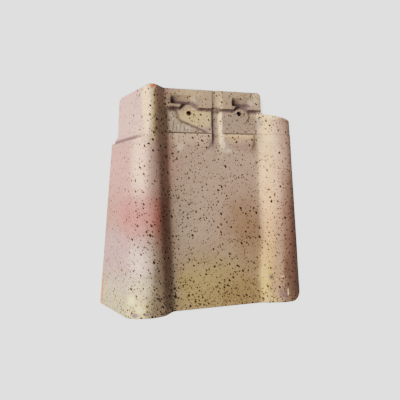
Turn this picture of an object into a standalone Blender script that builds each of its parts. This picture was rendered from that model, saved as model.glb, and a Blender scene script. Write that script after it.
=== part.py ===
# Left-hand verge tile: one piece of pressed and fired clay.
#
# It is drawn as it lies on a roof, with the pan level: X runs across the tile from the
# hanging wing to the cover roll, Y runs up the slope from the tail edge to the head edge,
# Z points up, X = 0 is the axis of the small channel between the nail pads, Y = 0 is the
# tail edge and Z = 0 is the top of the pan. At the end the tile is laid on the ground,
# where it rests on the lower edge of the wing and on the free edge of the cover roll.

import math

import bmesh
import bpy
from mathutils import Vector

# The whole tile, in metres
tile_length = 0.440
wall = 0.012
edge_chamfer = 0.0012

# The wing hangs down outside the verge roll and leans out. Its head part steps in
wing_lean = math.radians(27.0)
wing_drop = 0.096
wing_foot_x = -0.2385
wing_step_from_head = 0.106
wing_step_ramp = 0.006
wing_corner_radius = 0.009

# The verge roll: its outer shoulder and its crest at the tail edge, below the wing's
# step (lap), above the step (neck) and at the head edge
shoulder_tail_z = 0.011
shoulder_lap_x = -0.1640
shoulder_lap_z = 0.0145
shoulder_neck_x = -0.1500
shoulder_neck_z = 0.0200
shoulder_head_x = -0.1480
shoulder_head_z = 0.0190
crest_tail_x = -0.1420
crest_tail_z = 0.0255
crest_head_x = -0.1390
crest_head_z = 0.0330
shoulder_radius_tail = 0.014
shoulder_radius_head = 0.010
crest_radius_tail = 0.060
crest_radius_lap = 0.022
crest_radius_neck = 0.010
crest_radius_head = 0.009
flank_angle = math.radians(50.0)
flank_height_tail = 0.0205
flank_height_head = 0.0225
flank_radius = 0.012
foot_radius = 0.011
arch_radius_tail = 0.042
arch_radius_head = 0.005

# The pan, from the channel's axis to the foot of each roll
pan_left_tail = 0.096
pan_left_head = 0.108
pan_right_tail = 0.084
pan_right_head = 0.091

# The cover roll: a short flank, a broad crown and a rounded brow above the free edge
cover_flank_run = 0.012
cover_flank_height = 0.005
cover_foot_radius = 0.006
cover_crown_x = 0.128
cover_crown_height = 0.0125
cover_crown_radius = 0.040
cover_brow_run = 0.006
cover_brow_height = 0.0125
cover_brow_radius = 0.024
cover_edge_tail = 0.1750
cover_edge_head = 0.1698
cover_drop = 0.009
cover_corner_radius = 0.028
inner_corner_radius = 0.002

# The head of the tile, which the next tile up the slope laps
lap_from_head = 0.092
lap_drop = 0.002
roll_lap_drop = 0.001
band_from_head = 0.0405
band_rise = 0.005
step_ramp = 0.0012
band_end_x = 0.098
band_corner_radius = 0.009

# The cover roll stops short of the band, at an oblique cut
cut_inner_from_head = 0.0455
cut_outer_from_head = 0.0595
cut_inner_radius = 0.009
cut_outer_radius = 0.012
cut_outer_gap = 0.004

# The channel between the nail pads, which runs out on to the pan
channel_depth = 0.005
channel_left = 0.011
channel_right = 0.009
channel_draft = 0.002
channel_runout = 0.030
groove_depth = 0.0015
groove_right = 0.003
groove_ramp = 0.005

# The nail holes, and the round bays that the nail pads take out of the band
nail_hole_diameter = 0.008
left_hole_x = -0.061
left_hole_from_head = 0.050
left_bay_radius = 0.021
right_hole_x = 0.049
right_hole_from_head = 0.047
right_bay_x = 0.052
right_bay_from_head = 0.050
right_bay_radius = 0.018

# The lower floor beside the left pad, bounded by a slanting edge
floor_depth = 0.0055
floor_foot_gap = 0.007
floor_side_x = -0.086
floor_elbow_x = -0.079
floor_elbow_from_head = 0.0645
floor_elbow_radius = 0.012
floor_tip_x = -0.013

# The shallow raised plates at the top of the pan
plate_rise = 0.0016
plate_length = 0.040
plate_gap = 0.0015
plate_inner_radius = 0.026
plate_outer_radius = 0.014
left_plate_outer_gap = 0.016
right_plate_outer_gap = 0.009

# The hanging nibs, and the hollows that the press leaves above them
hollow_width = 0.049
hollow_length = 0.019
hollow_from_head = 0.0165
hollow_head_level = 0.002
hollow_tail_level = -0.008
left_hollow_x = -0.0725
right_hollow_x = 0.0595
nib_cheek = 0.004
nib_depth = 0.016
nib_face_from_head = 0.042
nib_foot_length = 0.010
nib_slope_length = 0.026
nib_draft = 0.003
nib_face_draft = 0.001

# The drip rib under the tail
rib_from_tail = 0.016
rib_width = 0.012
rib_depth = 0.005
rib_end_gap = 0.010

# How finely the curved stretches are drawn
shoulder_steps = 5
crest_steps = 8
flank_steps = 5
foot_steps = 5
cover_steps = 4
brow_steps = 6
pan_stations = 6
corner_steps = 5
outline_steps = 6
bay_steps = 24
hole_sides = 24

clay_colour = (0.58, 0.47, 0.38, 1.0)
clay_roughness = 0.75

# How far a cutter runs past the surface that it opens, and how deep a joined piece sinks
overrun = 0.020
joint_depth = 0.006
# Keeps two faces of different pieces from lying in one plane
offset = 0.0003

lean = math.tan(wing_lean)
flank_slope = math.tan(flank_angle)
lap_y = tile_length - lap_from_head
band_y = tile_length - band_from_head
wing_step_y = tile_length - wing_step_from_head
neck_y = wing_step_y + wing_step_ramp

# The ground under the resting tile, as a slope across the level pan
bed_slope = (wing_drop - cover_drop) / (cover_edge_tail - wing_foot_x)


def clear_scene():
    for old in list(bpy.data.objects):
        bpy.data.objects.remove(old, do_unlink=True)


def new_collection(name):
    collection = bpy.data.collections.new(name)
    bpy.context.scene.collection.children.link(collection)
    return collection


# Sizes along the tile

def mix(a, b, t):
    return a + (b - a) * t


def evenly(y, tail, head):
    """A size that changes evenly from the tail to the head."""
    return mix(tail, head, y / tile_length)


def along(y, tail, lap, neck, head):
    """A size that runs from the tail to the wing's step, over it, and on to the head."""
    if y <= wing_step_y:
        return mix(tail, lap, y / wing_step_y)
    if y <= neck_y:
        return mix(lap, neck, (y - wing_step_y) / wing_step_ramp)
    return mix(neck, head, (y - neck_y) / (tile_length - neck_y))


def stepped(y, step_y, before, after):
    """A level that changes over the short ramp of a pressed step."""
    return mix(before, after, min(max((y - step_y) / step_ramp, 0.0), 1.0))


# The section across the tile

def bed_z(x):
    return bed_slope * (x - cover_edge_tail) - cover_drop


def on_bed(point, run):
    """Where the line through the point, leaning run sideways for each unit down, meets the bed."""
    x, z = point
    x = (x - run * (z - bed_z(0.0))) / (1.0 - run * bed_slope)
    return x, bed_z(x)


def shift(a, b, distance):
    """The line from a to b moved towards the clay's inside, which is on its right."""
    length = math.hypot(b[0] - a[0], b[1] - a[1])
    dx = (b[1] - a[1]) / length * distance
    dz = -(b[0] - a[0]) / length * distance
    return (a[0] + dx, a[1] + dz), (b[0] + dx, b[1] + dz)


def meet(first, second):
    """The point where two lines, each given by two points, cross."""
    (ax, az), (bx, bz) = first
    (cx, cz), (dx, dz) = second
    ux, uz, vx, vz = bx - ax, bz - az, dx - cx, dz - cz
    t = ((cx - ax) * vz - (cz - az) * vx) / (ux * vz - uz * vx)
    return ax + ux * t, az + uz * t


def rounded(corners, steps):
    """A path through corners (x, z, radius). One with a radius becomes an arc of so many steps."""
    path = [corners[0][:2]]
    for before, corner, after, count in zip(corners, corners[1:], corners[2:], steps):
        if not corner[2]:
            path.append(corner[:2])
            continue
        here = Vector(corner[:2])
        back = (Vector(before[:2]) - here).normalized()
        ahead = (Vector(after[:2]) - here).normalized()
        half = back.angle(ahead) / 2
        radius = corner[2]
        centre = here + (back + ahead).normalized() * radius / math.sin(half)
        start = here + back * radius / math.tan(half) - centre
        end = here + ahead * radius / math.tan(half) - centre
        sweep = math.atan2(start.x * end.y - start.y * end.x, start.dot(end))
        for i in range(count + 1):
            turn = sweep * i / count
            cos, sin = math.cos(turn), math.sin(turn)
            path.append((centre.x + start.x * cos - start.y * sin,
                         centre.y + start.x * sin + start.y * cos))
    path.append(corners[-1][:2])
    return path


def upper_corners(y, pan, roll):
    """Corners of the upper side, with the pan and the cover roll at the given levels."""
    tail_shoulder_x = wing_foot_x + lean * (shoulder_tail_z + wing_drop)
    shoulder = (along(y, tail_shoulder_x, shoulder_lap_x, shoulder_neck_x, shoulder_head_x),
                along(y, shoulder_tail_z, shoulder_lap_z, shoulder_neck_z, shoulder_head_z))
    crest = (evenly(y, crest_tail_x, crest_head_x), evenly(y, crest_tail_z, crest_head_z))
    flank_z = evenly(y, flank_height_tail, flank_height_head)
    foot_x = -evenly(y, pan_left_tail, pan_left_head)
    cover_x = evenly(y, pan_right_tail, pan_right_head)
    edge_x = evenly(y, cover_edge_tail, cover_edge_head)
    return [
        (*on_bed(shoulder, lean), 0.0),
        (*shoulder, evenly(y, shoulder_radius_tail, shoulder_radius_head)),
        (*crest, along(y, crest_radius_tail, crest_radius_lap, crest_radius_neck,
                       crest_radius_head)),
        (foot_x - flank_z / flank_slope, flank_z, flank_radius),
        (foot_x - pan / flank_slope, pan, foot_radius),
        (cover_x, pan, cover_foot_radius),
        (cover_x + cover_flank_run, cover_flank_height + roll, cover_foot_radius),
        (cover_crown_x, cover_crown_height + roll, cover_crown_radius),
        (edge_x - cover_brow_run, cover_brow_height + roll, cover_brow_radius),
        (edge_x, bed_z(edge_x), 0.0),
    ]


def upper_path(y):
    pan = stepped(y, lap_y, 0.0, -lap_drop)
    pan = stepped(y, band_y, pan, band_rise)
    roll = stepped(y, lap_y, 0.0, -roll_lap_drop)
    steps = (shoulder_steps, crest_steps, flank_steps, foot_steps, cover_steps, cover_steps,
             cover_steps, brow_steps)
    return rounded(upper_corners(y, pan, roll), steps)


def lower_path(y):
    """The plain underside, one wall below the pan. One arch runs under the verge roll."""
    corners = [corner[:2] for corner in upper_corners(y, 0.0, 0.0)]
    foot, shoulder, crest, flank = corners[:4]
    rest = corners[3:]
    lines = [shift(foot, shoulder, wall)]
    lines += [shift(a, b, wall) for a, b in zip(rest, rest[1:])]
    points = [meet(a, b) for a, b in zip(lines, lines[1:])]
    arch = evenly(y, arch_radius_tail, arch_radius_head)
    radii = (arch, foot_radius + wall, cover_foot_radius + wall, inner_corner_radius,
             cover_crown_radius - wall, cover_brow_radius - wall)
    brow_line = lines[-1]
    run = (brow_line[0][0] - brow_line[1][0]) / (brow_line[0][1] - brow_line[1][1])
    path = [(*on_bed(points[0], lean), 0.0)]
    path += [(*point, radius) for point, radius in zip(points, radii)]
    path += [(*on_bed(points[-1], run), 0.0)]
    arch_steps = shoulder_steps + crest_steps + flank_steps + 2
    steps = (arch_steps, foot_steps, cover_steps, cover_steps, cover_steps, brow_steps)
    return rounded(path, steps)


def section(y):
    """The closed section at y: over the upper side, and back along the underside."""
    upper = upper_path(y)
    lower = lower_path(y)
    past_corner = y - (tile_length - wing_corner_radius)
    if past_corner > 0.0:
        lift = wing_corner_radius - math.sqrt(max(wing_corner_radius ** 2 - past_corner ** 2, 0.0))
        along_wing = Vector((math.sin(wing_lean), math.cos(wing_lean))) * lift
        upper[0] = tuple(Vector(upper[0]) + along_wing)
        lower[0] = tuple(Vector(lower[0]) + along_wing)
    inset = edge_chamfer - min(y, tile_length - y)
    if inset > 0.0:
        narrowed = []
        for top, bottom in zip(upper, lower):
            inward = (Vector(bottom) - Vector(top)).normalized() * inset
            narrowed.append((tuple(Vector(top) + inward), tuple(Vector(bottom) - inward)))
        upper, lower = [pair[0] for pair in narrowed], [pair[1] for pair in narrowed]
    return [Vector((x, y, z)) for x, z in upper + lower[::-1]]


def station_list():
    """The places along the tile where a section is drawn."""
    stations = [0.0, edge_chamfer]
    stations += [wing_step_y * i / pan_stations for i in range(1, pan_stations + 1)]
    stations += [neck_y, lap_y, lap_y + step_ramp, band_y, band_y + step_ramp]
    for i in range(corner_steps):
        angle = math.pi / 2 * i / corner_steps
        stations.append(tile_length - wing_corner_radius * (1.0 - math.sin(angle)))
    return sorted(stations + [tile_length - edge_chamfer, tile_length])


# Meshes

def add_object(name, bm, collection):
    bmesh.ops.recalc_face_normals(bm, faces=bm.faces)
    if bm.calc_volume(signed=True) < 0.0:
        bmesh.ops.reverse_faces(bm, faces=bm.faces)
    mesh = bpy.data.meshes.new(name)
    bm.to_mesh(mesh)
    bm.free()
    obj = bpy.data.objects.new(name, mesh)
    collection.objects.link(obj)
    return obj


def add_rings(bm, rings):
    """Joins rings of points, each with as many points, by a band of faces."""
    loops = [[bm.verts.new(point) for point in ring] for ring in rings]
    for ring, following in zip(loops, loops[1:]):
        for i, vert in enumerate(ring):
            j = (i + 1) % len(ring)
            bm.faces.new((vert, ring[j], following[j], following[i]))
    return loops


def make_shell(name, collection):
    """The tile's curved wall, as a loft through its sections."""
    bm = bmesh.new()
    loops = add_rings(bm, [section(y) for y in station_list()])
    for loop in (loops[0], loops[-1]):
        last = len(loop) - 1
        for i in range(len(loop) // 2 - 1):
            bm.faces.new((loop[i], loop[i + 1], loop[last - i - 1], loop[last - i]))
    return add_object(name, bm, collection)


def make_trough(name, stations, collection):
    """A block between sections across the tile, each (y, left, right, low, high, draft)."""
    rings = []
    for y, left, right, low, high, draft in stations:
        rings.append([Vector((left + draft, y, low)), Vector((right - draft, y, low)),
                      Vector((right, y, high)), Vector((left, y, high))])
    bm = bmesh.new()
    loops = add_rings(bm, rings)
    bm.faces.new(loops[0])
    bm.faces.new(loops[-1])
    return add_object(name, bm, collection)


def make_prism(name, outline, low, high, collection):
    """A flat outline (x, y), drawn up from one level to another."""
    bm = bmesh.new()
    face = bm.faces.new([bm.verts.new((x, y, low)) for x, y in outline])
    drawn = bmesh.ops.extrude_face_region(bm, geom=[face])["geom"]
    raised = [item for item in drawn if isinstance(item, bmesh.types.BMVert)]
    bmesh.ops.translate(bm, verts=raised, vec=(0.0, 0.0, high - low))
    return add_object(name, bm, collection)


def outline_of(corners):
    return rounded(corners, [outline_steps] * (len(corners) - 2))


# Pieces that are joined to the shell or cut from it, in the order of the list

def make_nib(name, x, collection):
    """A nib whose tail-facing side, which hangs on the batten, leans by its draft."""
    half = hollow_width / 2 + nib_cheek
    top = -wall + joint_depth
    low = -wall - nib_depth
    sunk = joint_depth / 2
    face_y = tile_length - nib_face_from_head
    sunk_y = face_y - nib_face_draft * sunk / nib_depth
    foot_y = face_y + nib_foot_length
    end_y = foot_y + nib_slope_length
    stations = [(sunk_y, x - half, x + half, -wall + sunk, top, nib_draft),
                (face_y + nib_face_draft, x - half, x + half, low, top, nib_draft),
                (foot_y, x - half, x + half, low, top, nib_draft),
                (end_y, x - half, x + half, -wall, top, nib_draft)]
    return make_trough(name, stations, collection)


def make_rib(name, collection):
    left = -pan_left_tail + foot_radius + rib_end_gap
    right = pan_right_tail - rib_end_gap
    low, top = -wall - rib_depth, -wall + joint_depth
    stations = [(y, left, right, low, top, 0.0)
                for y in (rib_from_tail, rib_from_tail + rib_width)]
    return make_trough(name, stations, collection)


def make_plate(name, inner_x, outer_x, collection):
    """A shallow plate whose inner corner curves widely away from the channel."""
    head_y = lap_y - offset
    tail_y = lap_y - plate_length
    outline = outline_of([
        ((inner_x + outer_x) / 2, head_y, 0.0),
        (inner_x, head_y, 0.0),
        (inner_x, tail_y, plate_inner_radius),
        (outer_x, tail_y, plate_outer_radius),
        (outer_x, head_y, 0.0),
    ])
    return make_prism(name, outline, -joint_depth, plate_rise, collection)


def make_cover_cut(collection):
    """Frees the band's end and cuts the cover roll short of it."""
    head_y = tile_length + edge_chamfer
    outer_x = cover_edge_head + cut_outer_gap
    inner_y = tile_length - cut_inner_from_head
    outer_y = tile_length - cut_outer_from_head
    beyond = outer_x + overrun
    outline = outline_of([
        (band_end_x - band_corner_radius * 2, head_y + overrun, 0.0),
        (band_end_x - band_corner_radius * 2, head_y, 0.0),
        (band_end_x, head_y, band_corner_radius),
        (band_end_x, inner_y, cut_inner_radius),
        (outer_x, outer_y, cut_outer_radius),
        (outer_x, outer_y - 2 * overrun, 0.0),
        (beyond, outer_y - 2 * overrun, 0.0),
        (beyond, head_y + overrun, 0.0),
    ])
    return make_prism("cover_cut", outline, -3 * overrun, 2 * overrun, collection)


def make_tail_corner(collection):
    """Rounds the corner between the tail edge and the cover roll's side, seen from above."""
    reach = evenly(cover_corner_radius, cover_edge_tail, cover_edge_head)
    inner_x = reach - cover_corner_radius - overrun
    inner_y = cover_corner_radius + overrun
    outline = outline_of([
        (inner_x, -offset, 0.0),
        (reach, -offset, cover_corner_radius),
        (reach + offset, inner_y, 0.0),
        (reach + overrun, inner_y, 0.0),
        (reach + overrun, -overrun, 0.0),
        (inner_x, -overrun, 0.0),
    ])
    return make_prism("tail_corner", outline, -2 * overrun, 2 * overrun, collection)


def make_hollow(name, x, collection):
    half = hollow_width / 2
    head_y = tile_length - hollow_from_head
    tail_y = head_y - hollow_length
    stations = [(tail_y, x - half, x + half, hollow_tail_level, overrun, 0.0),
                (head_y, x - half, x + half, hollow_head_level, overrun, 0.0)]
    return make_trough(name, stations, collection)


def make_floor(collection):
    """The lower floor between the verge roll and the left nail pad."""
    head_y = band_y - offset
    tail_y = lap_y + step_ramp + offset
    left = -evenly(lap_y, pan_left_tail, pan_left_head) + floor_foot_gap
    outline = outline_of([
        (left, head_y, 0.0),
        (floor_side_x, head_y, 0.0),
        (floor_elbow_x, tile_length - floor_elbow_from_head, floor_elbow_radius),
        (floor_tip_x, tail_y, 0.0),
        (left, tail_y, 0.0),
    ])
    return make_prism("side_floor", outline, -floor_depth, overrun, collection)


def make_channel(collection):
    """The channel: a groove across the band, deep between the pads, running out on the pan."""
    groove = band_rise - groove_depth
    left, right = -channel_left, channel_right
    stations = [
        (lap_y - channel_runout, left, right, offset, overrun, channel_draft),
        (lap_y, left, right, -channel_depth, overrun, channel_draft),
        (band_y - groove_ramp, left, right, -channel_depth, overrun, channel_draft),
        (band_y + groove_ramp, left, groove_right, groove, overrun, channel_draft),
        (tile_length + overrun, left, groove_right, groove, overrun, channel_draft),
    ]
    return make_trough("channel", stations, collection)


def make_bay(name, x, from_head, radius, collection):
    """The round bay that a nail pad takes out of the band."""
    y = tile_length - from_head
    half = math.acos((band_y - offset - y) / radius)
    outline = []
    for i in range(bay_steps + 1):
        angle = math.pi / 2 - half + 2 * half * i / bay_steps
        outline.append((x + radius * math.cos(angle), y + radius * math.sin(angle)))
    return make_prism(name, outline, -lap_drop - offset, overrun, collection)


def make_nail_hole(name, x, from_head, collection):
    bm = bmesh.new()
    radius = nail_hole_diameter / 2
    bmesh.ops.create_cone(bm, cap_ends=True, segments=hole_sides, radius1=radius, radius2=radius,
                          depth=4 * overrun)
    bmesh.ops.translate(bm, verts=bm.verts, vec=(x, tile_length - from_head, 0.0))
    return add_object(name, bm, collection)


def combine(tile, cutter, operation):
    modifier = tile.modifiers.new(cutter.name, "BOOLEAN")
    modifier.object = cutter
    modifier.operation = operation
    modifier.solver = "EXACT"
    cutter.display_type = "WIRE"
    cutter.hide_render = True


def fired_clay():
    material = bpy.data.materials.new("slipped_clay")
    material.use_nodes = True
    shader = material.node_tree.nodes["Principled BSDF"]
    shader.inputs["Base Color"].default_value = clay_colour
    shader.inputs["Roughness"].default_value = clay_roughness
    shader.inputs["Metallic"].default_value = 0.0
    return material


def lay_down(tile, cutters):
    """Turns the tile about Y until its two free edges lie on the ground, and centres it."""
    pose = bpy.data.objects.new("laid_down", None)
    bpy.context.scene.collection.objects.link(pose)
    for obj in [tile] + list(cutters.objects):
        obj.parent = pose
    pose.rotation_euler = (0.0, math.atan(bed_slope), 0.0)
    bpy.context.view_layer.update()
    solid = tile.evaluated_get(bpy.context.evaluated_depsgraph_get())
    corners = [solid.matrix_world @ vert.co for vert in solid.data.vertices]
    low = [min(corner[i] for corner in corners) for i in range(3)]
    high = [max(corner[i] for corner in corners) for i in range(3)]
    pose.location = (-(low[0] + high[0]) / 2, -(low[1] + high[1]) / 2, -low[2])


def main():
    clear_scene()
    parts = new_collection("verge_tile")
    cutters = new_collection("cutters")
    tile = make_shell("verge_tile", parts)
    tile.data.materials.append(fired_clay())

    left_outer = left_plate_outer_gap - evenly(lap_y, pan_left_tail, pan_left_head)
    right_outer = evenly(lap_y, pan_right_tail, pan_right_head) - right_plate_outer_gap
    joined = [
        make_nib("left_nib", left_hollow_x, cutters),
        make_nib("right_nib", right_hollow_x, cutters),
        make_rib("drip_rib", cutters),
        make_plate("left_plate", -channel_left - plate_gap, left_outer, cutters),
        make_plate("right_plate", channel_right + plate_gap, right_outer, cutters),
    ]
    cuts = [
        make_cover_cut(cutters),
        make_tail_corner(cutters),
        make_hollow("left_hollow", left_hollow_x, cutters),
        make_hollow("right_hollow", right_hollow_x, cutters),
        make_floor(cutters),
        make_channel(cutters),
        make_bay("left_bay", left_hole_x, left_hole_from_head, left_bay_radius, cutters),
        make_bay("right_bay", right_bay_x, right_bay_from_head, right_bay_radius, cutters),
        make_nail_hole("left_nail_hole", left_hole_x, left_hole_from_head, cutters),
        make_nail_hole("right_nail_hole", right_hole_x, right_hole_from_head, cutters),
    ]

    for cutter in joined:
        combine(tile, cutter, "UNION")
    for cutter in cuts:
        combine(tile, cutter, "DIFFERENCE")
    lay_down(tile, cutters)


main()
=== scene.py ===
# %% [markdown]
# # A clay verge tile, pressed and slipped
# A verge tile closes a tiled roof along the gable. It is one piece of clay: a flat pan, a
# cover roll on the right that laps the tile beside it, and on the left a verge roll with a
# wing that hangs down over the gable wall. This lesson starts from the plain solid model of
# the tile, which gives its place and size, and puts a finely pressed and coloured tile there.

# %% Load the plain model
import math

import bpy
import numpy as np
from mathutils import Matrix, Vector, noise


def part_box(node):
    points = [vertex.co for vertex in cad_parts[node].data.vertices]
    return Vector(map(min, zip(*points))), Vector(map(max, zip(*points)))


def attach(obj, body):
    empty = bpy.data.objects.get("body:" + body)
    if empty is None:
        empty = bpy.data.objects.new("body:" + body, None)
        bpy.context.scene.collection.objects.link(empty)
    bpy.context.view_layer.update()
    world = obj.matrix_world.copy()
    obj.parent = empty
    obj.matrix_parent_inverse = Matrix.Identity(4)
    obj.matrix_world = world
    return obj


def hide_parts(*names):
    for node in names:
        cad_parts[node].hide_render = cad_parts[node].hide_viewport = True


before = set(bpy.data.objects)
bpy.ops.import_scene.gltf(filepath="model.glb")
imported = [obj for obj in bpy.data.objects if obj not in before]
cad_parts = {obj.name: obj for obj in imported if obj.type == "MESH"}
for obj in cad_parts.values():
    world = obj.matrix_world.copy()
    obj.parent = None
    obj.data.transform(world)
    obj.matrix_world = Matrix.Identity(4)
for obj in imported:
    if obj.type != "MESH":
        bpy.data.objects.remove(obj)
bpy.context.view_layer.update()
cad_low, cad_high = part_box("verge_tile")
print("plain tile, mm:", [round(1000 * side) for side in cad_high - cad_low])


# %% [markdown]
# ## How the tile is drawn
# A roof tile is easiest to draw as it lies on the roof, with its pan level. X runs across
# it from the wing to the cover roll, Y runs up the slope from the tail edge to the head
# edge, and Z = 0 is the top of the pan. All sizes are in metres. They are those of the plain
# model or lie within a few millimetres of them, so that the two agree. Only at the end is the
# tile laid down on the ground.

# %% The sizes of the tile
tile_length = 0.440
wall = 0.012

wing_lean = math.tan(math.radians(27.0))
wing_drop = 0.096
wing_foot_x = -0.2385
wing_step_y = 0.334
wing_step_ramp = 0.005
wing_corner_radius = 0.014

cover_edge_tail = 0.1750
cover_edge_head = 0.1698
cover_drop = 0.009
cover_corner_radius = 0.028

lap_y = 0.348
band_y = 0.3995
band_end_x = 0.098
band_corner_radius = 0.009
pan_lap_drop = 0.002
roll_lap_drop = 0.001
band_rise = 0.005

bed_slope = (wing_drop - cover_drop) / (cover_edge_tail - wing_foot_x)
print("the pan leans by", round(math.degrees(math.atan(bed_slope)), 1), "degrees")


# %% [markdown]
# ## The section of the mould
# A tile like this is pressed between two plaster moulds, so its shape is a section that
# changes slowly from the tail to the head. A section could be a Bezier curve, but the plain
# way is closer to a draughtsman's: straight lines between named corners, each corner
# rounded by an arc of a known radius. Sizes that change along the tile are mixed from their
# values at the tail and the head, and the verge roll has two more stations, below and above
# the step where its wing is set in for the lap of the next tile.

# %% Sizes along the tile
def mix(a, b, t):
    return a + (b - a) * t


def ease(t):
    """0 before t = 0, 1 after t = 1, and a soft S between them."""
    t = np.clip(t, 0.0, 1.0)
    return t * t * (3.0 - 2.0 * t)


def ramp(distance, width):
    """A soft step that is halfway up where the distance is 0."""
    return ease(distance / width + 0.5)


def evenly(y, tail, head):
    return mix(tail, head, y / tile_length)


def along(y, tail, lap, neck, head):
    """Even up to the wing's step, quickly over it, and even again to the head."""
    if y <= wing_step_y:
        return mix(tail, lap, y / wing_step_y)
    neck_y = wing_step_y + wing_step_ramp
    if y <= neck_y:
        return mix(lap, neck, float(ease((y - wing_step_y) / wing_step_ramp)))
    return mix(neck, head, (y - neck_y) / (tile_length - neck_y))


# %% Corners of the upper mould
lap_step_width = 0.0026
band_step_width = 0.0034
wing_flare = 0.0045
wing_flare_length = 0.016
tail_shoulder_z = 0.0112
flank_slope = math.tan(math.radians(47.0))
pan_left, pan_right = -0.088, 0.080
pan_corner = 0.011
cover_foot_run, cover_foot_rise, cover_foot_corner = 0.012, 0.005, 0.006
crown_radius, brow_radius, side_radius = 0.040, 0.036, 0.018
band_side_from, band_side_ramp = 0.365, 0.025


def bed_z(x):
    return bed_slope * (x - cover_edge_tail) - cover_drop


def on_bed(point, run):
    """Where the line through the point, leaning run sideways for each unit down, ends."""
    x = (point[0] - run * (point[1] - bed_z(0.0))) / (1.0 - run * bed_slope)
    return x, bed_z(x)


def pan_level(y):
    """The pan's height: lower where the next tile laps, and raised in the head band."""
    lap = -pan_lap_drop * ramp(y - lap_y, lap_step_width)
    return mix(lap, band_rise, ramp(y - band_y, band_step_width))


def band_edge_x(y):
    """The x of the column that becomes the free end of the band at the head."""
    beside_cover = evenly(y, 0.091, 0.098)
    return mix(beside_cover, band_end_x, float(ease((y - band_side_from) / band_side_ramp)))


def upper_corners(y, pan, roll):
    """Corners over the tile, from the wing's foot to the cover roll's edge.

    A sharp corner is (x, z), and a rounded one is (x, z, radius).
    """
    above_step = y - wing_step_y
    flare = wing_flare * float(ease(above_step / wing_step_ramp))
    flare *= 1.0 - float(ease((above_step - wing_step_ramp) / wing_flare_length))
    tail_shoulder_x = wing_foot_x + wing_lean * (tail_shoulder_z + wing_drop)
    shoulder = (along(y, tail_shoulder_x, -0.1640, -0.1500, -0.1480),
                along(y, tail_shoulder_z, 0.0145, 0.0200, 0.0190))
    crest = (evenly(y, -0.1465, -0.1390), evenly(y, 0.0277, 0.0330))
    flank_z = evenly(y, 0.0193, 0.0225)
    foot_x = -evenly(y, 0.0960, 0.108)
    cover_x = evenly(y, 0.084, 0.091)
    edge_x = evenly(y, cover_edge_tail, cover_edge_head)
    band_x = band_edge_x(y)
    band_z = mix(pan, cover_foot_rise + roll, (band_x - cover_x) / cover_foot_run)
    wing_foot = on_bed(shoulder, wing_lean + flare / wing_drop)
    return [
        wing_foot,
        (*shoulder, evenly(y, 0.020, 0.010)),
        (*crest, along(y, 0.068, 0.022, 0.010, 0.009)),
        (foot_x - flank_z / flank_slope, flank_z, 0.022),
        (foot_x - pan / flank_slope, pan, pan_corner),
        (pan_left, pan),
        (pan_right, pan),
        (cover_x, pan, cover_foot_corner),
        (band_x, band_z),
        (cover_x + cover_foot_run, cover_foot_rise + roll, cover_foot_corner),
        (0.130, 0.0125 + roll, crown_radius),
        (edge_x - 0.018, 0.0108 + roll, brow_radius),
        (edge_x - 0.0035, 0.0005 + roll, side_radius),
        (edge_x, bed_z(edge_x)),
    ]


print(len(upper_corners(0.0, 0.0, 0.0)), "corners in the upper mould's section")


# %% Corners of the lower mould
def shift(a, b, distance):
    """The line from a to b moved into the clay, which is on its right."""
    length = math.hypot(b[0] - a[0], b[1] - a[1])
    dx = (b[1] - a[1]) / length * distance
    dz = -(b[0] - a[0]) / length * distance
    return (a[0] + dx, a[1] + dz), (b[0] + dx, b[1] + dz)


def meet(first, second):
    """The point where two lines, each given by two points, cross."""
    (ax, az), (bx, bz) = first
    (cx, cz), (dx, dz) = second
    ux, uz, vx, vz = bx - ax, bz - az, dx - cx, dz - cz
    t = ((cx - ax) * vz - (cz - az) * vx) / (ux * vz - uz * vx)
    return ax + ux * t, az + uz * t


def lower_corners(y):
    """Corners of the plain lower mould, one wall below. One arch runs under the verge roll."""
    upper = upper_corners(y, 0.0, 0.0)
    turning = [upper[i][:2] for i in (0, 1, 3, 4, 7, 9, 10, 11, 12, 13)]
    lines = [shift(turning[0], turning[1], wall)]
    lines += [shift(a, b, wall) for a, b in zip(turning[2:], turning[3:])]
    arch, foot, cover, inner, crown, brow, side = [meet(a, b) for a, b in zip(lines, lines[1:])]
    wing_run, side_run = [(ax - bx) / (az - bz) for (ax, az), (bx, bz) in (lines[0], lines[-1])]
    band_x = band_edge_x(y)
    return [
        on_bed(arch, wing_run),
        (*arch, evenly(y, 0.042, 0.005)),
        (*foot, pan_corner + wall),
        (pan_left, -wall),
        (pan_right, -wall),
        (*cover, cover_foot_corner),
        (band_x, mix(cover[1], inner[1], (band_x - cover[0]) / (inner[0] - cover[0]))),
        (*inner, 0.002),
        (*crown, crown_radius - wall),
        (*brow, brow_radius - wall),
        (*side, side_radius - wall),
        on_bed(side, side_run),
    ]


print(len(lower_corners(0.0)), "corners in the lower mould's section")


# %% [markdown]
# ## Columns of points
# Both moulds are sampled with the same number of points, so that every point on top has its
# partner underneath. An arc takes a fixed number of steps and a straight run is cut into a
# fixed number of pieces. Next to a free edge the points crowd together, because the wet edge
# of a tile is wiped round with a thumb or a sponge, and a round edge needs points to show.

# %% From corners to columns
edge_radius = 0.0016
edge_crowd = [edge_radius * (1.0 - math.cos(math.pi / 6 * i)) for i in range(4)]

upper_steps = (7, 14, 8, 6, 0, 0, 3, 0, 3, 7, 9, 6)
upper_runs = (16, 4, 2, 5, 9, 118, 6, 7, 3, 8, 5, 3, 6)

# The arch under the verge roll takes as many points as the roll's three corners above it.
lower_steps = (sum(upper_steps[:3]) + sum(upper_runs[1:3]), *upper_steps[3:])
lower_runs = (upper_runs[0], *upper_runs[3:])


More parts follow.
